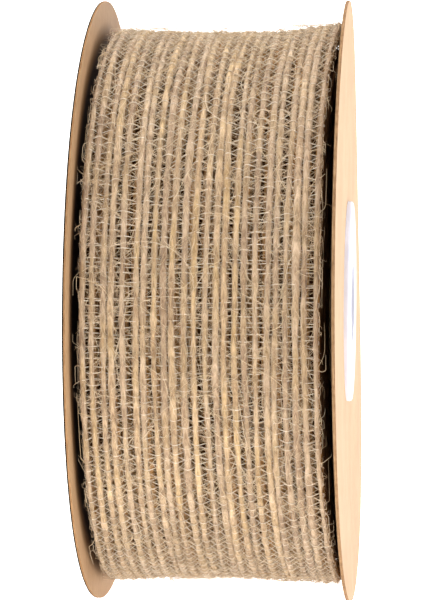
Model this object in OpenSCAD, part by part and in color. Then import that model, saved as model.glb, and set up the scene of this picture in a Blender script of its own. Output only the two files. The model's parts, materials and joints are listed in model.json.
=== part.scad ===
// Ribbon spool: two board flanges clamped to a core tube by two hub plugs, and a
// loosely woven jute ribbon wound between them.
// Millimetres. The spool's axis is X, +X points to the right flange, +Z is up, and
// the origin is on the axis, midway between the flanges.

/* [Flanges] */
// Diameter of each board disc
flange_d = 139.7; // [136:0.1:180]
// Thickness of the board
flange_t = 0.7; // [0.5:0.1:1.5]
// How far each rim flares outward from its hub
flare = 0.6; // [0.2:0.1:1]

/* [Core] */
// Outside diameter of the core tube
core_d = 40; // [38:1:42]
// Wall of the core tube
core_wall = 1.5; // [1:0.1:2]
// Length round the core of the tape that holds the ribbon's first turn
tape_arc = 30; // [15:1:60]

/* [Hub plugs] */
// Diameter of the spindle hole through both plugs
spindle_d = 19; // [8:0.5:20]
// Diameter of the lip that holds the flange
lip_d = 46.6; // [44:0.2:50]
// How far the lip stands proud of the flange
lip_t = 1.2; // [0.8:0.1:2]
// How far a plug reaches into the core tube
plug_depth = 12; // [8:1:18]
// Wall of the plug's skirt and of its spindle collar
plug_wall = 1.4; // [1:0.1:1.8]
// Number of ribs between the skirt and the collar
rib_count = 6; // [3:1:8]

/* [Ribbon] */
// Width of the ribbon
ribbon_w = 50.8; // [48:0.1:76]
// Gap between the ribbon and each flange
side_gap = 2.95; // [1:0.05:4]
// Diameter of the wound roll over its outer turn
roll_d = 127.4; // [80:0.1:130]
// How far the loose roll hangs below the spool's axis
roll_drop = 0.9; // [0:0.1:1.5]
// Number of warp yarns across the ribbon
warp_count = 24; // [16:1:25]
// Thickness of a warp yarn
yarn_d = 1.2; // [0.8:0.1:1.2]

/* [Free end] */
// Angle, up from level at the back, where the free end leaves the roll
tail_root = 70; // [60:1:85]
// Angle of roll that the free end covers
tail_span = 60; // [30:1:70]
// Thickness of the free end
tail_t = 1.1; // [0.8:0.1:1.5]
// Gap between the free end and the turn that it lies on
tail_gap = 0.3; // [0.2:0.1:0.5]

/* [Hidden] */

inner_w = ribbon_w + 2 * side_gap;
flange_x = inner_w / 2;
hub_x = flange_x - flare;
slide_fit = 0.05;
skirt_r = core_d / 2 - core_wall - slide_fit;
flange_hole_r = skirt_r + 2 * slide_fit;
seat_r = lip_d / 2 + 1;
collar_r = spindle_d / 2 + plug_wall;
lip_round = 0.6;
rib_t = 1.2;
rib_step = 2;
rib_turn = 15;
merge = 0.2;
tape_t = 0.15;
tape_lift = 0.03;
tape_margin = 3;
tape_w = ribbon_w - 2 * tape_margin;
tape_r = core_d / 2 + tape_lift;
winding_hole_r = tape_r + tape_t + 0.07;
weft_t = 0.25;
skin_gap = 0.05;
roll_r = roll_d / 2;
weft_r = roll_r - yarn_d - skin_gap;
winding_r = weft_r - weft_t - skin_gap;
tail_r = roll_r + tail_gap;
warp_pitch = (ribbon_w - yarn_d) / (warp_count - 1);
slow_sway = 0.14;
fast_sway = 0.06;
wedge_tip = 1.6;
cut = 1;

function yarn_name(i) = str("warp_yarn_", i < 10 ? "0" : "", i);

// Hand-spun yarns are never evenly spaced: two sines shift the inner ones by up to
// a fifth of their pitch, and the two selvage yarns stay at the edges.
function yarn_x(i) =
    let (inner = i > 1 && i < warp_count ? 1 : 0)
    (i - 1) * warp_pitch - (ribbon_w - yarn_d) / 2
    + inner * warp_pitch * (slow_sway * sin(137.5 * i + 20) + fast_sway * sin(61 * i));

$fn = 128;

// Turns a shape drawn about Z into one about the spool's axis
module on_axis(x = 0, drop = 0) {
    translate([x, 0, -drop]) rotate([0, 90, 0]) children();
}

// A round sleeve about the spool's axis, its bore and outside on separate centres
module sleeve(outer_r, inner_r, length, drop = 0, bore_drop = 0) {
    difference() {
        on_axis(-length / 2, drop) cylinder(r = outer_r, h = length);
        on_axis(-length / 2 - cut, bore_drop) cylinder(r = inner_r, h = length + 2 * cut);
    }
}

// The wedge of space between two angles about the axis, measured up from +Y
module wedge(from_deg, to_deg, length, reach) {
    mid = (from_deg + to_deg) / 2;
    rotate([0, 90, 0]) translate([0, 0, -length / 2]) linear_extrude(length)
        polygon([
            [0, 0],
            [-reach * sin(from_deg), reach * cos(from_deg)],
            [-wedge_tip * reach * sin(mid), wedge_tip * reach * cos(mid)],
            [-reach * sin(to_deg), reach * cos(to_deg)]
        ]);
}

// A disc about Z, flat where the plug's lip seats and flared from there to the rim
module flange() {
    rotate_extrude() polygon([
        [flange_hole_r, 0],
        [seat_r, 0],
        [flange_d / 2, flare],
        [flange_d / 2, flare + flange_t],
        [seat_r, flange_t],
        [flange_hole_r, flange_t]
    ]);
}

module right_flange() {
    color("burlywood") on_axis(hub_x) flange();
}

module left_flange() {
    color("burlywood") mirror([1, 0, 0]) on_axis(hub_x) flange();
}

module core_tube() {
    color("tan") sleeve(core_d / 2, core_d / 2 - core_wall, 2 * hub_x);
}

// Outline of the lip and skirt to one side of the axis: lip up at +Y, skirt down
module plug_profile() {
    top = flange_t + lip_t;
    lip_r = lip_d / 2;
    difference() {
        union() {
            translate([spindle_d / 2, flange_t])
                square([lip_r - lip_round - spindle_d / 2, lip_t]);
            translate([lip_r - lip_round, flange_t])
                square([lip_round, lip_t - lip_round]);
            translate([lip_r - lip_round, top - lip_round]) circle(lip_round);
            translate([skirt_r - plug_wall, -plug_depth])
                square([plug_wall, plug_depth + flange_t + merge]);
            translate([spindle_d / 2, -plug_depth])
                square([plug_wall, plug_depth + flange_t + merge]);
        }
        translate([0, -plug_depth - cut]) square([spindle_d / 2, plug_depth + top + 2 * cut]);
    }
}

// One moulded plug about Z: the inner face of the flange is at z = 0
module hub_plug() {
    rotate_extrude() plug_profile();
    for (i = [0:rib_count - 1])
        rotate([0, 0, i * 360 / rib_count + rib_turn])
            translate([collar_r - merge, -rib_t / 2, rib_step - plug_depth])
                cube([
                    skirt_r - plug_wall - collar_r + 2 * merge,
                    rib_t,
                    plug_depth - rib_step + flange_t + merge
                ]);
}

module right_hub_plug() {
    color("white") on_axis(hub_x) hub_plug();
}

module left_hub_plug() {
    color("white") mirror([1, 0, 0]) on_axis(hub_x) hub_plug();
}

// A strip of tape lying round the bottom of the core
module start_tape() {
    half = tape_arc / core_d * 180 / PI;
    color("ivory") intersection() {
        sleeve(tape_r + tape_t, tape_r, tape_w);
        wedge(270 - half, 270 + half, tape_w, core_d);
    }
}

// All the turns but the outermost, as one soft solid
module ribbon_winding() {
    color("saddlebrown") sleeve(winding_r, winding_hole_r, ribbon_w, roll_drop);
}

// The weft of the outer turn, as a thin skin that its warp yarns lie on
module weft_threads() {
    color("wheat")
        sleeve(weft_r, weft_r - weft_t, ribbon_w, roll_drop, roll_drop);
}

// One warp yarn of the outer turn
module warp_yarn(i) {
    color("peru") on_axis(yarn_x(i), roll_drop)
        rotate_extrude() translate([roll_r - yarn_d / 2, 0]) circle(d = yarn_d);
}

// The loose end of the ribbon, lying on the back of the roll
module ribbon_tail() {
    color("tan") intersection() {
        sleeve(tail_r + tail_t, tail_r, ribbon_w, roll_drop, roll_drop);
        translate([0, 0, -roll_drop])
            wedge(tail_root - tail_span, tail_root, ribbon_w, flange_d);
    }
}

left_flange();
right_flange();
core_tube();
left_hub_plug();
right_hub_plug();
start_tape();
ribbon_winding();
weft_threads();
ribbon_tail();
for (i = [1:warp_count])
    warp_yarn(i);
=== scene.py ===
"""A spool of jute ribbon: kraft board flanges, white hub plugs and a loosely woven ribbon.

The winding is one spiral. An angle called turn runs along it in degrees: 0 at the tip
of the free end, TAIL_TURN where the free end leaves the roll, and on into the roll.
"""

import json
import math

import bpy
import numpy as np
from mathutils import Matrix, Vector


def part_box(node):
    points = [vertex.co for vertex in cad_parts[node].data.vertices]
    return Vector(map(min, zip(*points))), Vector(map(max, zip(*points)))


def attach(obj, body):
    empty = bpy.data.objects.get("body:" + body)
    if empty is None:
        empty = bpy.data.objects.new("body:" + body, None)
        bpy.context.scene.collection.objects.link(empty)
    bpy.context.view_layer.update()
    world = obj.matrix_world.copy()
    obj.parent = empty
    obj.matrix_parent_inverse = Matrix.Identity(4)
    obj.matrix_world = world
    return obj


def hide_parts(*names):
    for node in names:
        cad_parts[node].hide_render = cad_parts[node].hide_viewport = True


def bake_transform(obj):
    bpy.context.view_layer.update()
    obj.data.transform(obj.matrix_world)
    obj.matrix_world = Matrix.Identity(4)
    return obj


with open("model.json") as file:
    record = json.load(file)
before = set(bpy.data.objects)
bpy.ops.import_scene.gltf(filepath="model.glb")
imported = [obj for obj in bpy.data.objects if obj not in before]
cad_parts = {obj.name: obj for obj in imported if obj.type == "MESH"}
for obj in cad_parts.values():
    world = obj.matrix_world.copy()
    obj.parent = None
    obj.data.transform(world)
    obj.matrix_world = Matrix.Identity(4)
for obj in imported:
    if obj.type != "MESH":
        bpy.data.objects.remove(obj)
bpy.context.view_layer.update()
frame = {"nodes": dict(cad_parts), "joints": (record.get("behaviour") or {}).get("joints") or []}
MM = 0.001


# ---------------------------------------------------------------- sizes from the frame

def centre_and_half(node):
    low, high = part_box(node)
    return (low + high) / 2, (high - low) / 2


YARNS = sorted(n for n in frame["nodes"] if n.startswith("warp_yarn_"))
ROLL_CENTRE, ROLL_HALF = centre_and_half(YARNS[0])
ROLL_R = ROLL_HALF.z
ROLL_Z = ROLL_CENTRE.z
YARN_R = ROLL_HALF.x
YARN_X = np.array([centre_and_half(n)[0].x for n in YARNS])
RIBBON_HALF = centre_and_half("ribbon_winding")[1].x
FLANGE_R = centre_and_half("right_flange")[1].z
BOARD_T = 0.7 * MM  # its own drawn thickness: the node's box holds the flare too
HUB_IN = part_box("right_flange")[0].x
FLANGE_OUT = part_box("right_flange")[1].x
FLANGE_IN = FLANGE_OUT - BOARD_T
LIP_R = centre_and_half("right_hub_plug")[1].z
CORE_R = centre_and_half("core_tube")[1].z
HINGE = Vector(frame["joints"][0]["pos_m"])
ROOT_ANGLE = math.degrees(math.atan2(HINGE.z - ROLL_Z, HINGE.y))
TAIL_TURN = 60.0
OUTER_END = TAIL_TURN + 360
TIP_ANGLE = ROOT_ANGLE - TAIL_TURN

# The cloth: the thickness of a turn, the weft's spacing and radius, how many turns below
# the outermost one are made of yarns, and the length of a step along the spiral.
TURN_T = 1.25 * MM
WEFT_PITCH = 1.4 * MM
WEFT_R = 0.105 * MM
UNDER_TURNS = 2
STEP = 0.8 * MM

# How the winding departs from a plain cylinder: the free end's lift off the roll, its
# edges' height over its middle, how it sags, and how it sits and fans out sideways.
TAIL_LIFT = 0.75 * MM
EDGE_RISE = 1.5 * MM
RIGHT_RISE = 0.8 * MM
MIDDLE_DIP = 0.4 * MM
EDGE_SAG = 0.3 * MM
MIDDLE_SAG = 0.95 * MM
SHIFT = -0.5 * MM
LEAN = 1.2 * MM
SPREAD = 2.5 * MM
TOP_SPREAD = 0.9 * MM


# ---------------------------------------------------------------- small helpers

def drift(rng, along, wavelength, reach):
    """A smooth random curve: one random height each wavelength, joined by cosines."""
    knots = rng.uniform(-reach, reach, int(along.max() / wavelength) + 4)
    at = along / wavelength + rng.random()
    whole = at.astype(int)
    part = (1 - np.cos(np.pi * (at - whole))) / 2
    return knots[whole] * (1 - part) + knots[whole + 1] * part


def unit(v):
    return v / np.maximum(np.linalg.norm(v, axis=-1, keepdims=True), 1e-12)


def circles(first, second, sides):
    """Unit circles round the points of a line, from two directions across it."""
    angle = np.arange(sides) * 2 * np.pi / sides
    return (
        first[..., None, :] * np.cos(angle)[:, None]
        + second[..., None, :] * np.sin(angle)[:, None]
    )


def tube_quads(rings, sides):
    """The faces that join each ring of points to the next one."""
    i = np.arange(rings - 1)[:, None] * sides + np.arange(sides)[None]
    j = np.arange(rings - 1)[:, None] * sides + (np.arange(sides) + 1)[None] % sides
    return np.stack([i, j, j + sides, i + sides], -1).reshape(-1, 4)


def mesh_piece(name, points, quads, materials, fibre=None, slots=None, caps=()):
    """A smooth mesh piece from arrays. fibre holds each point's place on its strand."""
    mesh = bpy.data.meshes.new(name)
    quads = np.asarray(quads, np.int32).reshape(-1, 4)
    loops = quads.reshape(-1)
    starts = np.arange(len(quads), dtype=np.int32) * 4
    totals = np.full(len(quads), 4, np.int32)
    for cap in caps:
        starts = np.append(starts, len(loops)).astype(np.int32)
        totals = np.append(totals, len(cap)).astype(np.int32)
        loops = np.concatenate([loops, np.asarray(cap, np.int32)])
    mesh.vertices.add(len(points))
    mesh.vertices.foreach_set("co", np.asarray(points, np.float32).reshape(-1))
    mesh.loops.add(len(loops))
    mesh.loops.foreach_set("vertex_index", loops)
    mesh.polygons.add(len(starts))
    mesh.polygons.foreach_set("loop_start", starts)
    mesh.polygons.foreach_set("loop_total", totals)
    mesh.polygons.foreach_set("use_smooth", np.ones(len(starts), bool))
    for material in materials:
        mesh.materials.append(material)
    if slots is not None:
        mesh.polygons.foreach_set("material_index", np.asarray(slots, np.int32))
    mesh.update(calc_edges=True)
    mesh.validate()
    if fibre is not None:
        layer = mesh.attributes.new("fibre", "FLOAT_VECTOR", "POINT")
        layer.data.foreach_set("vector", np.asarray(fibre, np.float32).reshape(-1))
    piece = bpy.data.objects.new(name, mesh)
    bpy.context.scene.collection.objects.link(piece)
    return piece


class Strands:
    """Collects tubes, and makes one mesh piece of them."""

    def __init__(self):
        self.points, self.quads, self.fibre, self.slots, self.caps = [], [], [], [], []
        self.count = 0

    def tube(self, line, out, radii, sides, number, slot=0, twist=0.0):
        """A tube along line. out is each point's outward direction, across the line.

        radii is (points, sides). twist is the fibres' lean round the tube, per metre."""
        n = len(line)
        ahead = unit(np.gradient(line, axis=0))
        side = unit(np.cross(ahead, out))
        up = np.cross(side, ahead)
        ring = circles(up, side, sides)
        self.points.append((line[:, None] + ring * radii[..., None]).reshape(-1, 3))
        quads = tube_quads(n, sides) + self.count
        self.quads.append(quads)
        length = np.concatenate(
            [[0], np.cumsum(np.linalg.norm(np.diff(line, axis=0), axis=1))]
        )
        around = np.abs(np.arange(sides) * 2 * np.pi / sides - np.pi) / np.pi
        fibre = np.zeros((n, sides, 3))
        fibre[..., 0] = around[None] + twist * length[:, None]
        fibre[..., 1] = length[:, None] * 1000
        fibre[..., 2] = number
        self.fibre.append(fibre.reshape(-1, 3))
        self.slots.append(np.full(len(quads), slot))
        first = self.count + np.arange(sides)
        self.caps.append((first[::-1], slot))
        self.caps.append((first + (n - 1) * sides, slot))
        self.count += n * sides

    def piece(self, name, materials):
        slots = np.concatenate(self.slots + [np.array([s for _, s in self.caps])])
        return mesh_piece(
            name,
            np.concatenate(self.points),
            np.concatenate(self.quads),
            materials,
            np.concatenate(self.fibre),
            slots,
            [c for c, _ in self.caps],
        )


# ---------------------------------------------------------------- the spiral

LAST_TURN = OUTER_END + 360 * UNDER_TURNS
TURN = np.linspace(0, LAST_TURN, int(math.radians(LAST_TURN) * ROLL_R / STEP))
ALONG = np.radians(TURN) * ROLL_R


def surface_r(turn):
    """The radius of the winding's outer surface; the free end stands a little off."""
    loose = np.clip(1 - turn / TAIL_TURN, 0, 1)
    return ROLL_R - TURN_T * (turn - TAIL_TURN) / 360 + TAIL_LIFT * loose**1.5


def place(turn, x, r):
    """A point of the winding, from its turn, its place along the axis and its radius."""
    angle = np.radians(TIP_ANGLE + turn)
    return np.stack([x + 0 * r, r * np.cos(angle), ROLL_Z + r * np.sin(angle)], -1)


def height_at(turn):
    """A place's height on the winding: 1 at the very top, -1 at the very bottom."""
    return np.sin(np.radians(TIP_ANGLE + np.asarray(turn, float)))


def crest(turn):
    """How near a place is to the top of the winding: 1 at the very top."""
    return np.clip(height_at(turn), 0, 1) ** 6


def sag(turn):
    """How much of the winding's weight a place carries: 1 at the very bottom."""
    return np.clip(-height_at(turn), 0, 1) ** 2


def lean(turn):
    """How far the winding sits off centre: a little left, and its top to the right."""
    return SHIFT + LEAN * crest(turn)


def spread(turn, x):
    """How far the cloth fans out toward the right flange, at its bottom and its top."""
    reach = SPREAD * sag(turn) ** 1.5 + TOP_SPREAD * crest(turn)
    return reach * (x / RIBBON_HALF + 1) / 2


def outward(turn):
    angle = np.radians(TIP_ANGLE + np.asarray(turn, float))
    return np.stack([0 * angle, np.cos(angle), np.sin(angle)], -1)


def yarn_courses():
    """For each warp yarn, its x, its centre's radius and its own radius along TURN.

    Each is smooth drifts of (wavelength, reach) on top of its even place. The cloth
    sways least at the tip, and its yarns wander more in the turns below the outer one,
    which they reach over fade degrees."""
    cloth_sway = (95 * MM, 0.25 * MM)
    slow_wander, quick_wander = (34 * MM, 0.33 * MM), (7 * MM, 0.07 * MM)
    hidden_wander = (60 * MM, 0.6 * MM)
    thick_places, long_swells, slubs = (9 * MM, 0.14), (28 * MM, 0.13), (2.6 * MM, 0.09)
    ripple = (20 * MM, 0.14 * MM)
    selvage_wander, selvage_size, inner_size = 0.3, 0.85, 1.12
    thinnest, thickest, swollen_below = -0.10, 0.12, 0.12
    least_sway, most_sway, fade = 0.35, 0.8, 40
    rng = np.random.default_rng(11)
    sway = drift(rng, ALONG, *cloth_sway) * np.clip(TURN / OUTER_END, least_sway, most_sway)
    below = np.clip((TURN - OUTER_END) / fade, 0, 1)
    xs, centres, sizes = [], [], []
    for i, x in enumerate(YARN_X):
        selvage = i in (0, len(YARN_X) - 1)
        wander = drift(rng, ALONG, *slow_wander)
        wander += drift(rng, ALONG, *quick_wander)
        wander += below * drift(rng, ALONG, *hidden_wander)
        slub = drift(rng, ALONG, *thick_places) + drift(rng, ALONG, *long_swells)
        slub += drift(rng, ALONG, *slubs)
        slub += rng.uniform(thinnest, thickest)
        size = YARN_R * (1 + slub) * (selvage_size if selvage else inner_size)
        size = size * (1 + swollen_below * below)
        x_course = x + (selvage_wander if selvage else 1) * wander + sway + lean(TURN)
        x_course += spread(TURN, x)
        across = x / RIBBON_HALF
        rise = EDGE_RISE * across**2 - MIDDLE_DIP + RIGHT_RISE * across**3 * crest(TURN)
        centre = surface_r(TURN) - YARN_R + rise + drift(rng, ALONG, *ripple)
        centre += (EDGE_SAG * across**2 + MIDDLE_SAG * (1 - across**2)) * sag(TURN)
        xs.append(x_course)
        centres.append(centre)
        sizes.append(size)
    return np.array(xs), np.array(centres), np.array(sizes)


COURSE_X, COURSE_R, COURSE_SIZE = yarn_courses()


def stretch(start, end, spacing=1):
    """The samples of TURN from start to end degrees, with both ends."""
    low = int(np.searchsorted(TURN, start))
    high = int(np.searchsorted(TURN, end))
    picked = np.arange(low, min(high + 1, len(TURN)), spacing)
    return np.unique(np.append(picked, min(high, len(TURN) - 1)))


def add_yarn(strands, i, start, end, sides=10, spacing=1, slot=0):
    """One warp yarn from start to end degrees of turn, as a lumpy twisted strand."""
    twist_length, fibre_twist = 7.5 * MM, 90.0
    two_lobes, three_lobes, three_lobe_lay = 0.10, 0.08, 1.7
    pick = stretch(start, end, spacing)
    turn, along = TURN[pick], ALONG[pick]
    line = place(turn, COURSE_X[i][pick], COURSE_R[i][pick])
    around = np.arange(sides) * 2 * np.pi / sides
    lay = 2 * np.pi * along[:, None] / twist_length
    lumps = 1 + two_lobes * np.cos(2 * around[None] - lay) + three_lobes * np.cos(
        3 * around[None] + three_lobe_lay * lay + i
    )
    radii = COURSE_SIZE[i][pick][:, None] * lumps
    number = i + turn[0] * 0.01
    strands.tube(line, outward(turn), radii, sides, number, slot, fibre_twist)


def add_weft(strands, start, end, points_per_gap, sides, slot, seed):
    """The weft from start to end degrees: one thread that goes to and fro, over and
    under the warp yarns, and turns back at each selvage.

    It sinks into the soft yarns where it crosses over them, least at the top and the
    bottom of the roll. Bows are drifts of (yarns, share of a row) across the cloth."""
    row_jitter = 0.12
    sunk, afloat, under, proudest = 0.4, 0.76, 0.9, 0.6
    short_bow, long_bow = (3.0, 0.24), (11.0, 0.3)
    overhang = 0.6 * MM
    loop_start, loop_end = 0.25, 0.6
    point_length, thread_twist = 0.3 * MM, 300.0
    thickness = (4 * MM, 0.2)
    rng = np.random.default_rng(seed)
    pitch = math.degrees(WEFT_PITCH / ROLL_R)
    rows = np.arange(math.ceil(start / pitch), math.floor(end / pitch))
    count = len(YARN_X)
    fine = np.linspace(0, count - 1, (count - 1) * points_per_gap + 1)
    left = fine.astype(int).clip(0, count - 2)
    part = fine - left
    blend = (1 - np.cos(np.pi * part)) / 2
    line_turn, line_x, line_r = [], [], []
    for row in rows:
        turn = (row + 0.5) * pitch + rng.normal(0, row_jitter) * pitch
        x = np.array([np.interp(turn, TURN, c) for c in COURSE_X])
        centre = np.array([np.interp(turn, TURN, c) for c in COURSE_R])
        size = np.array([np.interp(turn, TURN, c) for c in COURSE_SIZE])
        over = np.where((np.arange(count) + row) % 2 == 0, 1.0, -1.0)
        proud = proudest * height_at(turn) ** 2
        slack = np.where(over > 0, proud + rng.uniform(sunk, afloat, count), under)
        crossing = centre + over * (size + WEFT_R) * slack
        across = x[left] * (1 - part) + x[left + 1] * part
        level = crossing[left] * (1 - blend) + crossing[left + 1] * blend
        bow = drift(rng, fine + 1, *short_bow) + drift(rng, fine + 1, *long_bow)
        turns = turn + bow * pitch
        if row % 2:
            across, level, turns = across[::-1], level[::-1], turns[::-1]
        edge = across[-1] + np.sign(across[-1]) * overhang
        line_x += [across, [edge, edge]]
        line_r += [level, [level[-1], level[-1]]]
        line_turn += [turns, [turns[-1] + loop_start * pitch, turns[-1] + loop_end * pitch]]
    turn, x, r = (np.concatenate(v) for v in (line_turn, line_x, line_r))
    line = place(turn, x, r)
    length = np.arange(len(line)) * point_length
    thick = WEFT_R * (1 + drift(rng, length, *thickness))
    radii = np.repeat(thick[:, None], sides, 1)
    strands.tube(line, outward(turn), radii, sides, seed, slot, thread_twist)


def hair_roots(rng, count, start, end, edge_share):
    """Random places on the warp yarns: each root's yarn, turn and sample of TURN, its
    place, and the direction away from its yarn."""
    widest_tilt, root_depth = 1.3, 0.85
    yarn = rng.integers(0, len(YARN_X), count)
    at_edge = rng.random(count) < edge_share
    yarn = np.where(at_edge, rng.choice([0, len(YARN_X) - 1], count), yarn)
    turn = rng.uniform(start, end, count)
    pick = np.searchsorted(TURN, turn).clip(0, len(TURN) - 1)
    tilt = rng.uniform(-widest_tilt, widest_tilt, count)
    axis = np.array([1.0, 0, 0])[None]
    away = outward(turn) * np.cos(tilt)[:, None] + axis * np.sin(tilt)[:, None]
    root = place(turn, COURSE_X[yarn, pick], COURSE_R[yarn, pick])
    root = root + away * COURSE_SIZE[yarn, pick][:, None] * root_depth
    return yarn, turn, pick, root, away


def hair_lines(rng, count, segments, length, start, end, spring, curl, edge_share):
    """Curling lines that start on the warp yarns.

    Their loft over the roll and their stray past its edges are kept small, and they
    stay clear of the flanges."""
    least_loft, mean_loft = 0.3, 0.7
    root_height, mean_stray, flange_gap = 0.2 * MM, 0.5 * MM, 1.0 * MM
    sideways, length_spread, wobble = 0.45, 0.45, 0.12
    yarn, turn, pick, root, away = hair_roots(rng, count, start, end, edge_share)
    out = outward(turn)
    axis = np.array([1.0, 0, 0])[None]
    ahead = np.cross(axis, out) * rng.choice([-1.0, 1.0], count)[:, None]
    heading = unit(
        ahead * rng.uniform(0.3, 1.0, (count, 1))
        + away * spring * rng.uniform(0.2, 1.2, (count, 1))
        + axis * rng.normal(0, sideways, (count, 1))
    )
    reach = length * rng.lognormal(0, length_spread, count)
    bend = rng.normal(0, curl, (count, 3))
    bend -= out * rng.uniform(0.2, 1.2, (count, 1)) * curl
    line = np.zeros((count, segments + 1, 3))
    line[:, 0] = root
    step = reach / segments
    lowest = COURSE_R[yarn, pick] + root_height
    highest = lowest + (least_loft + rng.exponential(mean_loft, count)) * MM
    stray = rng.exponential(mean_stray, count)
    edge = RIBBON_HALF + spread(turn, RIBBON_HALF)
    clear = FLANGE_IN - flange_gap
    right = np.minimum(lean(turn) + edge + stray, clear)
    left = np.maximum(lean(turn) - RIBBON_HALF - stray, -clear)
    for k in range(segments):
        heading = unit(heading + bend / segments + rng.normal(0, wobble, (count, 3)))
        spot = line[:, k] + heading * step[:, None]
        r = np.hypot(spot[:, 1], spot[:, 2] - ROLL_Z)
        push = r.clip(lowest, highest) / r
        spot[:, 1] *= push
        spot[:, 2] = ROLL_Z + (spot[:, 2] - ROLL_Z) * push
        spot[:, 0] = spot[:, 0].clip(left, right)
        line[:, k + 1] = spot
    return line


def hairs(name, rng, count, segments, length, thick, start, end, material, spring,
          curl, edge_share):
    """Loose fibres that spring from the warp yarns and curl over the cloth.

    spring is how steeply they leave their yarn, and curl how much they bend.
    edge_share of them are moved to the selvages."""
    line = hair_lines(rng, count, segments, length, start, end, spring, curl, edge_share)
    tip_share = 0.35
    taper = np.linspace(1, tip_share, segments + 1)[None] * thick
    taper = taper * rng.uniform(0.6, 1.3, (count, 1))
    forward = unit(np.gradient(line, axis=1))
    first = unit(np.cross(forward, unit(rng.normal(size=(count, 1, 3)))))
    second = np.cross(forward, first)
    sides = 3
    ring = circles(first, second, sides)
    points = line[:, :, None] + ring * taper[:, :, None, None]
    base = np.arange(count)[:, None, None] * (segments + 1) * sides
    quads = (base + tube_quads(segments + 1, sides)).reshape(-1, 4)
    fibre = np.zeros(points.shape)
    fibre[..., 0] = rng.uniform(0, 50, (count, 1, 1))
    fibre[..., 1] = rng.uniform(0, 50, (count, 1, 1))
    return mesh_piece(name, points.reshape(-1, 3), quads, [material],
                      fibre.reshape(-1, 3))


# ---------------------------------------------------------------- materials

PLAIN = (1, 1, 1, 1)


def shader(name, roughness, specular=0.5, **values):
    """A new material: its node tree and its Principled node, with plain values set."""
    material = bpy.data.materials.new(name)
    material.use_nodes = True
    tree = material.node_tree
    surface = tree.nodes["Principled BSDF"]
    surface.inputs["Roughness"].default_value = roughness
    surface.inputs["Specular IOR Level"].default_value = specular
    for socket, value in values.items():
        surface.inputs[socket.replace("_", " ")].default_value = value
    return material, tree, surface


def linear(r, g, b):
    """An sRGB colour, 0 to 255, as the shader's linear one."""
    def one(v):
        v /= 255
        return v / 12.92 if v <= 0.04045 else ((v + 0.055) / 1.055) ** 2.4
    return (one(r), one(g), one(b), 1.0)


def node(tree, kind, **values):
    made = tree.nodes.new(kind)
    for key, value in values.items():
        if key in made.inputs:
            made.inputs[key].default_value = value
        else:
            setattr(made, key, value)
    return made


def scaled(tree, vector, scale):
    made = node(tree, "ShaderNodeMapping")
    made.inputs["Scale"].default_value = scale
    tree.links.new(vector, made.inputs["Vector"])
    return made.outputs["Vector"]


def strand_place(tree, scale):
    """A strand's own coordinates: round it, along it in mm, and its number."""
    where = node(tree, "ShaderNodeAttribute", attribute_name="fibre")
    return scaled(tree, where.outputs["Vector"], scale)


def object_place(tree, scale):
    """Coordinates in the piece's own frame, in metres. scale is waves per metre."""
    where = node(tree, "ShaderNodeTexCoord")
    return scaled(tree, where.outputs["Object"], scale)


def noise(tree, vector, detail=3.0, roughness=0.55, distortion=0.0):
    """Noise over coordinates that are already scaled."""
    made = node(tree, "ShaderNodeTexNoise", Scale=1.0, Detail=detail,
                Roughness=roughness, Distortion=distortion)
    tree.links.new(vector, made.inputs["Vector"])
    return made.outputs["Fac"]


def ramp(tree, value, stops):
    """A colour ramp through stops of (position, linear colour)."""
    made = node(tree, "ShaderNodeValToRGB")
    elements = made.color_ramp.elements
    while len(elements) < len(stops):
        elements.new(0.5)
    for element, (position, colour) in zip(elements, stops):
        element.position = position
        element.color = colour
    tree.links.new(value, made.inputs["Fac"])
    return made.outputs["Color"]


def mix(tree, factor, a, b, blend="MIX"):
    """Two colours mixed: each is a socket or a plain colour, and factor too."""
    made = node(tree, "ShaderNodeMix", data_type="RGBA", blend_type=blend)
    sockets = [s for s in made.inputs if s.type == "RGBA"]
    for value, socket in ((factor, made.inputs["Factor"]), (a, sockets[0]),
                          (b, sockets[1])):
        if isinstance(value, bpy.types.NodeSocket):
            tree.links.new(value, socket)
        else:
            socket.default_value = value
    return next(s for s in made.outputs if s.type == "RGBA")


def multiply(tree, colour, tint, share=1.0):
    """A colour darkened by a tint, in full or by a share of it."""
    return mix(tree, share, colour, tint, "MULTIPLY")


def bump(tree, surface, height, strength, distance):
    """Relief from a grey value. distance is its depth in metres."""
    made = node(tree, "ShaderNodeBump", Strength=strength, Distance=distance)
    tree.links.new(height, made.inputs["Height"])
    tree.links.new(made.outputs["Normal"], surface.inputs["Normal"])


def jute(name, shadow, body, light, golden, bump_by=1.0, sheen=0.1):
    """Jute: fibres along the strand, with patches and whole strands of other tints."""
    material, tree, surface = shader(name, 0.9, 0.15, Sheen_Weight=sheen,
                                     Sheen_Roughness=0.6)
    fibres = noise(tree, strand_place(tree, (5.0, 0.36, 3.1)), 5.0, 0.72, 0.6)
    colour = ramp(tree, fibres, [(0.36, shadow), (0.48, body), (0.6, light)])
    patches = noise(tree, strand_place(tree, (0.5, 0.05, 17.0)), 2.0)
    tint = ramp(tree, patches, [(0.4, body), (0.5, light), (0.6, golden)])
    colour = mix(tree, 0.4, colour, tint)
    strand = noise(tree, strand_place(tree, (0.0, 0.004, 7.3)), 1.0)
    cast = ramp(tree, strand, [(0.34, (0.80, 0.76, 0.74, 1)), (0.48, (0.96, 0.95, 0.97, 1)),
                               (0.62, (1.0, 0.95, 0.84, 1))])
    colour = multiply(tree, colour, cast)
    blotch = noise(tree, strand_place(tree, (1.0, 0.16, 5.3)), 2.0)
    depth = ramp(tree, blotch, [(0.3, (0.68, 0.64, 0.60, 1)), (0.6, PLAIN)])
    colour = multiply(tree, colour, depth)
    tree.links.new(colour, surface.inputs["Base Color"])
    bump(tree, surface, fibres, bump_by, 0.5 * MM)
    return material


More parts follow.
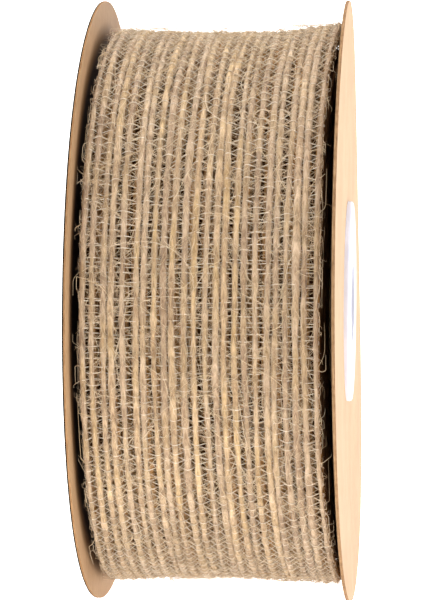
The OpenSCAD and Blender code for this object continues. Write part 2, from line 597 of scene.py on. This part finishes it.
def thread(name, dark, light, sheen=0.1):
    """A fine smooth thread, a little brighter than the jute."""
    material, tree, surface = shader(name, 0.7, 0.3, Sheen_Weight=sheen)
    grain = noise(tree, strand_place(tree, (4.0, 0.8, 1.0)), 3.0)
    tree.links.new(ramp(tree, grain, [(0.3, dark), (0.65, light)]),
                   surface.inputs["Base Color"])
    bump(tree, surface, grain, 0.4, 0.08 * MM)
    return material


def kraft_face(name, shade_from=0.0, shade_to=0.0, shade=PLAIN, half_shade=PLAIN,
               rim_shade=PLAIN):
    """Kraft liner: warm brown paper with fine pulp fibres and faint cloudy patches.

    It darkens from rim_shade at radius shade_to, over half_shade, to shade at shade_from:
    all of it painted shade, deepest where the roll's shadow lies and lightest toward the rim."""
    material, tree, surface = shader(name, 0.7, 0.3)
    clouds = noise(tree, object_place(tree, (60, 60, 60)), 5.0, 0.6)
    pulp = noise(tree, object_place(tree, (900, 900, 260)), 4.0, 0.7, 1.2)
    flecks = noise(tree, object_place(tree, (2600, 2600, 500)), 2.0, 0.5, 2.0)
    colour = ramp(tree, clouds, [(0.3, linear(190, 154, 117)),
                                 (0.7, linear(202, 167, 130))])
    fine = ramp(tree, pulp, [(0.35, (0.88, 0.86, 0.83, 1)), (0.6, PLAIN)])
    colour = multiply(tree, colour, fine)
    speck = ramp(tree, flecks, [(0.27, (0.72, 0.66, 0.58, 1)), (0.36, PLAIN)])
    colour = multiply(tree, colour, speck, 0.7)
    # Painted shade: the face darkens toward the roll, where its shadow falls.
    if shade_to:
        where = node(tree, "ShaderNodeTexCoord")
        flat = node(tree, "ShaderNodeVectorMath", operation="MULTIPLY")
        flat.inputs[1].default_value = (0, 1, 1)
        tree.links.new(where.outputs["Object"], flat.inputs[0])
        radius = node(tree, "ShaderNodeVectorMath", operation="LENGTH")
        tree.links.new(flat.outputs["Vector"], radius.inputs[0])
        share = node(tree, "ShaderNodeMapRange")
        share.inputs["From Min"].default_value = shade_from
        share.inputs["From Max"].default_value = shade_to
        tree.links.new(radius.outputs["Value"], share.inputs["Value"])
        painted_shade = ramp(tree, share.outputs["Result"], [(0.0, shade), (0.5, half_shade),
                                                    (1.0, rim_shade)])
        colour = multiply(tree, colour, painted_shade)
    tree.links.new(colour, surface.inputs["Base Color"])
    bump(tree, surface, pulp, 0.25, 0.05 * MM)
    return material


def board_edge(name, dark, middle, light):
    """The cut edge of the board: thin plies, slightly furry and worn."""
    material, tree, surface = shader(name, 0.95, 0.1)
    plies = noise(tree, object_place(tree, (9000, 300, 300)), 3.0, 0.6)
    nicks = noise(tree, object_place(tree, (700, 700, 700)), 4.0, 0.6)
    colour = ramp(tree, plies, [(0.3, dark), (0.55, middle), (0.75, light)])
    worn = ramp(tree, nicks, [(0.35, (0.75, 0.72, 0.7, 1)), (0.6, PLAIN)])
    tree.links.new(multiply(tree, colour, worn), surface.inputs["Base Color"])
    bump(tree, surface, plies, 0.5, 0.06 * MM)
    return material


def moulded_white():
    """Satin white plastic with a faint moulded texture and a little dust."""
    material, tree, surface = shader("hub_plastic", 0.42, 0.4)
    cloud = noise(tree, object_place(tree, (140, 140, 140)), 3.0)
    fine = noise(tree, object_place(tree, (1800, 1800, 1800)), 2.0)
    colour = ramp(tree, cloud, [(0.3, linear(200, 199, 212)), (0.7, linear(212, 211, 220))])
    tree.links.new(colour, surface.inputs["Base Color"])
    satin = ramp(tree, fine, [(0.3, (0.36, 0.36, 0.36, 1)), (0.7, (0.5, 0.5, 0.5, 1))])
    tree.links.new(satin, surface.inputs["Roughness"])
    bump(tree, surface, fine, 0.08, 0.03 * MM)
    return material


def wound_paper():
    """The core tube: spiral-wound grey-brown paper with its slanting seams."""
    seam_pitch = 40 * MM
    material, tree, surface = shader("core_board", 0.9, 0.2)
    where = node(tree, "ShaderNodeTexCoord")
    split = node(tree, "ShaderNodeSeparateXYZ")
    tree.links.new(where.outputs["Object"], split.inputs["Vector"])
    angle = node(tree, "ShaderNodeMath", operation="ARCTAN2")
    tree.links.new(split.outputs["Z"], angle.inputs[0])
    tree.links.new(split.outputs["Y"], angle.inputs[1])
    slant = node(tree, "ShaderNodeMath", operation="MULTIPLY_ADD")
    tree.links.new(split.outputs["X"], slant.inputs[0])
    slant.inputs[1].default_value = 2 * math.pi / seam_pitch
    tree.links.new(angle.outputs[0], slant.inputs[2])
    wave = node(tree, "ShaderNodeMath", operation="COSINE")
    tree.links.new(slant.outputs[0], wave.inputs[0])
    pulp = noise(tree, object_place(tree, (700, 700, 700)), 4.0, 0.6)
    colour = ramp(tree, pulp, [(0.3, linear(150, 122, 92)), (0.7, linear(184, 154, 120))])
    seam = ramp(tree, wave.outputs[0], [(0.985, PLAIN), (1.0, (0.6, 0.55, 0.5, 1))])
    tree.links.new(multiply(tree, colour, seam), surface.inputs["Base Color"])
    bump(tree, surface, pulp, 0.3, 0.05 * MM)
    return material


def creped_tape():
    """Masking tape: pale paper with fine crepe wrinkles across it."""
    material, tree, surface = shader("tape_paper", 0.7)
    crepe = noise(tree, object_place(tree, (300, 3500, 3500)), 3.0)
    colour = ramp(tree, crepe, [(0.3, linear(205, 190, 150)), (0.7, linear(232, 220, 186))])
    tree.links.new(colour, surface.inputs["Base Color"])
    bump(tree, surface, crepe, 0.5, 0.06 * MM)
    return material


JUTE = jute("jute_yarn", linear(114, 84, 50), linear(190, 160, 125),
            linear(229, 203, 169), linear(214, 183, 129), sheen=0.25)
# The turns below the outer one: a darker copy of the jute yarn, painted shade of the outer turn
# over them.
JUTE_UNDER = jute("jute_under", linear(112, 74, 38), linear(172, 128, 80),
                  linear(200, 158, 108), linear(190, 148, 88), sheen=0.0)
# The turns down to the core: a much darker copy of the jute, painted shade inside the roll.
JUTE_DEEP = jute("jute_deep", linear(58, 32, 14), linear(92, 58, 28),
                 linear(116, 78, 44), linear(104, 68, 34), sheen=0.0)
FUZZ = jute("jute_fibre", linear(194, 164, 124), linear(224, 200, 162),
            linear(240, 222, 192), linear(230, 204, 156), bump_by=0.1)
FUZZ_DARK = jute("jute_fibre_dark", linear(140, 104, 68), linear(206, 172, 134),
                 linear(240, 216, 184), linear(196, 158, 110), bump_by=0.1)
# The weft of those turns: a darker copy of the weft thread, painted shade.
WEFT_UNDER = thread("weft_under", linear(134, 100, 62), linear(180, 144, 100))
WEFT = thread("weft_thread", linear(188, 166, 136), linear(236, 222, 200), sheen=0.8)
KRAFT = kraft_face("kraft_face")
# Both flanges' inner faces: painted shade toward the roll, and a lighter painted shade out to
# the rim.
KRAFT_INNER = kraft_face("kraft_inner", shade_from=ROLL_R - 4.5 * MM,
                         shade_to=ROLL_R + 1.5 * MM, shade=(0.05, 0.03, 0.02, 1),
                         half_shade=(0.42, 0.33, 0.22, 1), rim_shade=(0.87, 0.84, 0.79, 1))
# The same board's cut edge in two tints, this one for the right flange and the next for the
# left: painted light and shade of how each edge is lit.
EDGE = board_edge("board_edge", linear(122, 92, 64), linear(158, 124, 90),
                  linear(184, 150, 114))
EDGE_LIGHT = board_edge("board_edge_light", linear(132, 98, 66), linear(160, 122, 84),
                        linear(176, 140, 102))
# The left flange's outer arris: a dark line of painted shade along the board's cut edge.
EDGE_PAINTED_SHADE = board_edge("board_edge_painted_shade", linear(16, 10, 8), linear(30, 20, 16),
                      linear(52, 38, 30))


# ---------------------------------------------------------------- the ribbon

def outer_turn():
    """The outermost turn: a piece for each warp yarn, and the weft."""
    pieces = []
    for i, name in enumerate(YARNS):
        strands = Strands()
        add_yarn(strands, i, TAIL_TURN, OUTER_END)
        yarn = strands.piece(name + "_strand", [JUTE])
        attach(yarn, "spool")
        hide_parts(name)
        pieces.append(yarn)
    strands = Strands()
    add_weft(strands, TAIL_TURN, OUTER_END, points_per_gap=5, sides=5, slot=0, seed=101)
    weft = strands.piece("weft_outer_turn", [WEFT])
    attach(weft, "spool")
    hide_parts("weft_threads")
    return pieces + [weft]


def under_turns():
    """The turns just below, which show through the gaps of the outermost one."""
    strands = Strands()
    for i in range(len(YARNS)):
        add_yarn(strands, i, OUTER_END, LAST_TURN, sides=8, spacing=2)
    add_weft(strands, OUTER_END, LAST_TURN, points_per_gap=3, sides=4, slot=1, seed=102)
    # Their darker jute and weft are painted shade.
    piece = strands.piece("ribbon_under_turns", [JUTE_UNDER, WEFT_UNDER])
    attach(piece, "spool")
    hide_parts("ribbon_winding")
    return piece


def inner_turns():
    """All the turns down to the core, as one spiral sheet of the ribbon.

    Its outer turns follow the ones above them. drop fades that out toward the core."""
    core_gap, side_gap, half_thick = 0.35 * MM, 0.1 * MM, 0.35 * MM
    samples_per_turn, sample_length, fibre_mm = 72, 4 * MM, 3.0
    wavelength, reach = 60 * MM, 0.35 * MM
    outer, inner = surface_r(LAST_TURN), CORE_R + core_gap
    turns = (outer - inner) / TURN_T
    n = int(turns * samples_per_turn)
    turn = LAST_TURN + np.linspace(0, turns * 360, n)
    r = outer - TURN_T * (turn - LAST_TURN) / 360
    drop = np.linspace(1, 0, n)
    rng = np.random.default_rng(31)
    sway = drift(rng, np.arange(n) * sample_length, wavelength, reach)
    half = RIBBON_HALF - side_gap
    corners = [(-1, -1), (-0.5, -1.1), (0.5, -1.1), (1, -1),
               (1, 1), (0.5, 1.1), (-0.5, 1.1), (-1, 1)]
    rings = []
    for across, up in corners:
        x = across * half + spread(turn, across * half) * drop
        spot = place(turn, lean(turn) + sway + x, r + (up - 2) * half_thick)
        spot[:, 2] -= ROLL_Z * (1 - drop)
        rings.append(spot)
    points = np.stack(rings, 1)
    sides = len(corners)
    quads = tube_quads(n, sides)
    fibre = np.zeros(points.shape)
    fibre[..., 0] = (np.array([c[0] for c in corners]) * len(YARNS) / 2)[None]
    fibre[..., 1] = np.arange(n)[:, None] * fibre_mm
    caps = [np.arange(sides)[::-1], np.arange(sides) + (n - 1) * sides]
    # Its dark jute is painted shade.
    piece = mesh_piece("ribbon_inner_turns", points.reshape(-1, 3), quads, [JUTE_DEEP],
                       fibre.reshape(-1, 3), None, caps)
    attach(piece, "spool")
    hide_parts("ribbon_winding")
    return piece


def free_end():
    """The free end: its yarns and weft in one piece."""
    first_weft = 1.5  # degrees from the tip, so that the warp ends in a short fringe
    strands = Strands()
    for i in range(len(YARNS)):
        add_yarn(strands, i, 0, TAIL_TURN)
    add_weft(strands, first_weft, TAIL_TURN, points_per_gap=5, sides=5, slot=1, seed=103)
    piece = strands.piece("ribbon_free_end", [JUTE, WEFT])
    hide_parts("ribbon_tail")
    bend_at_root(piece)
    return piece


def bend_at_root(piece):
    """Bakes the piece's transform into its mesh; it does not bend the cloth."""
    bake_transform(piece)


def fuzz():
    """Stray fibres over the roll and the free end.

    The selvages of the roll get no more of them than the other yarns."""
    rng = np.random.default_rng(77)
    on_roll = [
        hairs("fuzz_close", rng, count=9500, segments=5, length=4.5 * MM,
              thick=0.05 * MM, start=TAIL_TURN + 3, end=OUTER_END, material=FUZZ_DARK,
              spring=0.1, curl=0.5, edge_share=0.0),
        hairs("fuzz_short", rng, count=12500, segments=4, length=2.2 * MM,
              thick=0.05 * MM, start=TAIL_TURN + 2, end=OUTER_END, material=FUZZ,
              spring=0.42, curl=1.0, edge_share=0.0),
        hairs("fuzz_medium", rng, count=6800, segments=7, length=6 * MM,
              thick=0.06 * MM, start=TAIL_TURN + 2, end=OUTER_END, material=FUZZ,
              spring=0.25, curl=1.9, edge_share=0.0),
        hairs("fuzz_long", rng, count=1900, segments=16, length=14 * MM,
              thick=0.075 * MM, start=TAIL_TURN + 4, end=OUTER_END, material=FUZZ,
              spring=0.6, curl=2.8, edge_share=0.0),
    ]
    for piece in on_roll:
        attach(piece, "spool")
    tail = hairs("fuzz_free_end", rng, count=2200, segments=5, length=3.2 * MM,
                 thick=0.04 * MM, start=1, end=TAIL_TURN - 1, material=FUZZ,
                 spring=0.6, curl=1.2, edge_share=0.1)
    bend_at_root(tail)
    return on_roll


# ---------------------------------------------------------------- the flanges

def board_profile(hole, seat):
    """The outline of half a disc's section, as (radius, depth into the board) all the
    way round, and for each step of it the slot of its material."""
    fillet = 0.12 * MM
    radii = np.concatenate([np.linspace(hole, seat, 5),
                            np.linspace(seat + 2 * MM, FLANGE_R - 1.2 * MM, 22),
                            np.linspace(FLANGE_R - 0.9 * MM, FLANGE_R - fillet, 4)])
    face = [(r, 0.0) for r in radii]
    inner_arris = [(FLANGE_R - fillet + fillet * math.sin(a), fillet * (1 - math.cos(a)))
                   for a in np.radians([30, 60, 90])]
    wall = [(FLANGE_R, BOARD_T * 0.35), (FLANGE_R, BOARD_T * 0.55)]
    outer_arris = [(r, BOARD_T - x) for r, x in inner_arris[::-1]]
    back = [(r, BOARD_T) for r in radii[::-1]]
    hole_wall = [(hole, BOARD_T * 0.5)]
    profile = np.array(face + inner_arris + wall + outer_arris + back + hole_wall)
    inner_face, edge, arris, outer_face = range(4)
    first = len(face)
    second = first + len(inner_arris) + 1
    third = second + len(outer_arris) + 1
    slots = np.full(len(profile), inner_face)
    slots[first:second] = edge
    slots[second:third] = arris
    slots[third:] = outer_face
    slots[-2:] = edge
    return profile, slots


def flange(name, side, warp, edge, arris):
    """A die-cut disc of board: two faces, a slightly rounded cut edge and a gentle
    warp. warp holds, in mm along X, the sizes of cos and sin of 1, 2 and 3 times the
    angle round the rim. edge and arris are the materials of the cut edge."""
    segments, seam = 288, 6
    nick_wavelength, nick_depth, nicked = 2.5 * MM, 0.02 * MM, 0.3 * MM
    hole, seat = CORE_R - 1.45 * MM, LIP_R + 1 * MM
    profile, profile_slots = board_profile(hole, seat)
    angle = np.arange(segments) * 2 * np.pi / segments
    r = np.repeat(profile[:, 0][None], segments, 0)
    share = np.clip((r - seat) / (FLANGE_R - seat), 0, 1)
    x = np.repeat(profile[:, 1][None], segments, 0) + HUB_IN
    x = side * (x + (FLANGE_IN - HUB_IN) * share)
    for k in (1, 2, 3):
        wave = warp[2 * k - 2] * np.cos(k * angle) + warp[2 * k - 1] * np.sin(k * angle)
        x += share**1.5 * wave[:, None] * MM
    rng = np.random.default_rng(5 if side > 0 else 6)
    nicks = drift(rng, angle * FLANGE_R, nick_wavelength, nick_depth)
    nicks[-seam:] *= np.linspace(1, 0, seam)
    r += nicks[:, None] * (profile[:, 0] > FLANGE_R - nicked)[None]
    points = np.stack([x, r * np.cos(angle)[:, None], r * np.sin(angle)[:, None]], -1)
    n = len(profile)
    i = np.arange(segments)[:, None] * n + np.arange(n)[None]
    j = ((np.arange(segments) + 1) % segments)[:, None] * n + np.arange(n)[None]
    onward = (np.arange(n) + 1) % n - np.arange(n)
    order = [i, j, j + onward, i + onward]
    quads = np.stack(order if side > 0 else order[::-1], -1).reshape(-1, 4)
    slots = np.repeat(profile_slots[None], segments, 0).reshape(-1)
    piece = mesh_piece(name + "_board", points.reshape(-1, 3), quads,
                       [KRAFT_INNER, edge, arris, KRAFT], None, slots)
    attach(piece, "spool")
    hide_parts(name)
    return piece


# ---------------------------------------------------------------- CAD nodes that stay

def dress(name, material):
    """Gives a CAD node that stays in the visual its material."""
    node_object = frame["nodes"][name]
    for slot in node_object.material_slots:
        slot.link = "OBJECT"
        slot.material = material


# ---------------------------------------------------------------- stage and camera

def softbox(name, place_at, size, power):
    """A square area light that looks at the spool's middle."""
    data = bpy.data.lights.new(name, "AREA")
    data.shape = "SQUARE"
    data.size = size
    data.energy = power
    lamp = bpy.data.objects.new(name, data)
    lamp.location = place_at
    lamp.rotation_euler = (-Vector(place_at)).to_track_quat("-Z", "Y").to_euler()
    bpy.context.scene.collection.objects.link(lamp)


def stage():
    """A pale floor that sweeps up behind the spool, and soft studio light."""
    glow, world_light = 1.38, 0.12
    floor_z = -FLANGE_R
    sweep_r, front, back, half, wall = 0.5, -3.0, 1.6, 3.5, 2.4
    sweep_steps = 12
    material, _, surface = shader("stage_white", 0.9)
    surface.inputs["Base Color"].default_value = (0.9, 0.9, 0.9, 1)
    surface.inputs["Emission Color"].default_value = PLAIN
    surface.inputs["Emission Strength"].default_value = glow
    path = [(front, floor_z), (back, floor_z)]
    for k in range(1, sweep_steps + 1):
        a = math.radians(k * 90 / sweep_steps)
        path.append((back + sweep_r * math.sin(a), floor_z + sweep_r * (1 - math.cos(a))))
    path.append((back + sweep_r, floor_z + wall))
    points = [(x, y, z) for y, z in path for x in (-half, half)]
    quads = [(2 * k, 2 * k + 1, 2 * k + 3, 2 * k + 2) for k in range(len(path) - 1)]
    floor = mesh_piece("studio_floor", points, quads, [material])

    world = bpy.data.worlds.new("studio")
    world.use_nodes = True
    background = world.node_tree.nodes["Background"]
    background.inputs["Color"].default_value = PLAIN
    background.inputs["Strength"].default_value = world_light
    bpy.context.scene.world = world
    softbox("key_right", (0.9, -0.8, 0.5), size=0.5, power=2.2)
    softbox("top_right", (0.25, -0.15, 1.0), size=0.5, power=9.4)
    softbox("top_left", (-0.4, -0.1, 0.95), size=0.5, power=8.4)
    softbox("fill_left", (-0.9, -0.9, 0.2), size=0.6, power=0.2)


def camera():
    """The photograph's view: level, from in front and a little to the right."""
    place_in_radii = Vector((0.7519, -9.0698, 0.0191))
    yaw, pitch, roll = -0.0880, -0.0020, 0.0068
    data = bpy.data.cameras.new("camera")
    data.lens = 162.65
    data.sensor_width = 36
    data.clip_start = 0.01
    made = bpy.data.objects.new("camera", data)
    made.location = place_in_radii * FLANGE_R
    ahead = Vector((math.sin(yaw) * math.cos(pitch), math.cos(yaw) * math.cos(pitch),
                    math.sin(pitch)))
    turn = ahead.to_track_quat("-Z", "Y").to_matrix().to_4x4()
    made.rotation_euler = (turn @ Matrix.Rotation(roll, 4, "Z")).to_euler()
    bpy.context.scene.collection.objects.link(made)
    bpy.context.scene.camera = made


bpy.context.scene.view_settings.view_transform = "Standard"
camera()
stage()
wound = outer_turn()
wound.append(under_turns())
wound += fuzz()
inner_turns()
free_end()
flange("right_flange", side=1, warp=(0.36, -0.75, -0.36, -0.35, -0.06, -0.1),
       edge=EDGE, arris=EDGE)
flange("left_flange", side=-1, warp=(-0.3, 0, -0.35, -0.4, -0.24, -0.18),
       edge=EDGE_LIGHT, arris=EDGE_PAINTED_SHADE)
hub_plastic = moulded_white()
dress("left_hub_plug", hub_plastic)
dress("right_hub_plug", hub_plastic)
dress("core_tube", wound_paper())
dress("start_tape", creped_tape())
